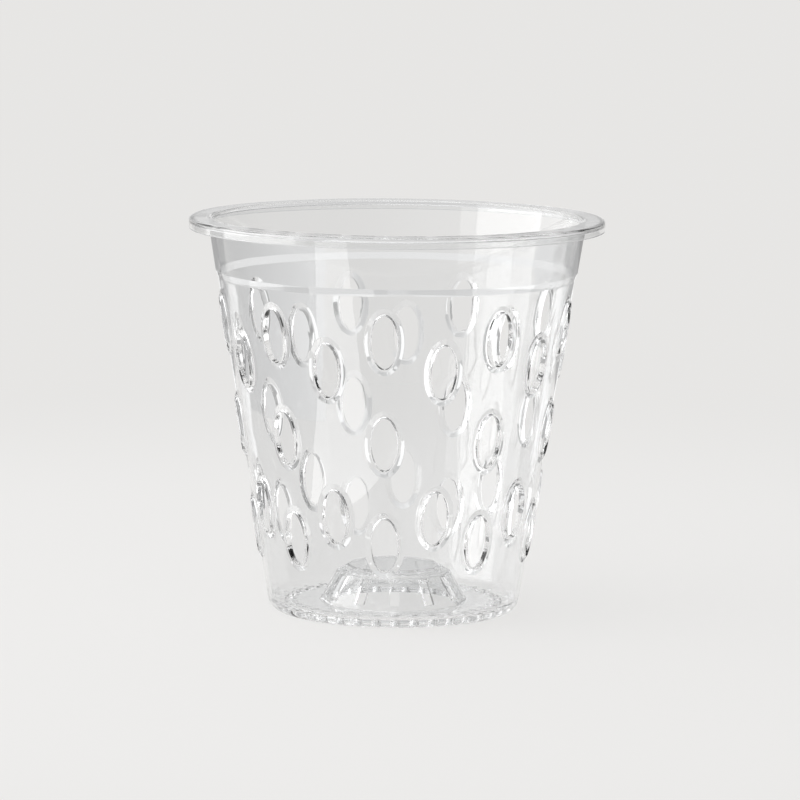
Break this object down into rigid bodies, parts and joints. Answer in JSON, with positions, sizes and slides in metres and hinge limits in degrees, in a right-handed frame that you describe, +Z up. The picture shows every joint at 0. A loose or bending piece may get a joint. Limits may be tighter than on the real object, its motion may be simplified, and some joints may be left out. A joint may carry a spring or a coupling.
{
  "type": "orchid pot",
  "caption": "Clear tapered plant pot for orchids, with staggered oval air slots in raised borders, a flanged rim, a drained floor and a raised, slit crown in its base.",
  "frame": {"origin": "centre of the standing ring, on the surface that the pot stands on", "axes": "+Z up along the pot's axis, -Y towards the front column of slots"},
  "size_m": [0.12, 0.12, 0.114],
  "materials": {
    "clear_plastic": "clear, glossy, as moulded"
  },
  "bodies": {
    "root": {"rim_lip": "clear_plastic", "collar": "clear_plastic", "shoulder_ring": "clear_plastic", "slotted_wall": "clear_plastic", "slot_lips": "clear_plastic", "heel_ring": "clear_plastic", "drain_floor": "clear_plastic", "crown_wall": "clear_plastic", "crown_cap": "clear_plastic"}
  },
  "joints": []
}
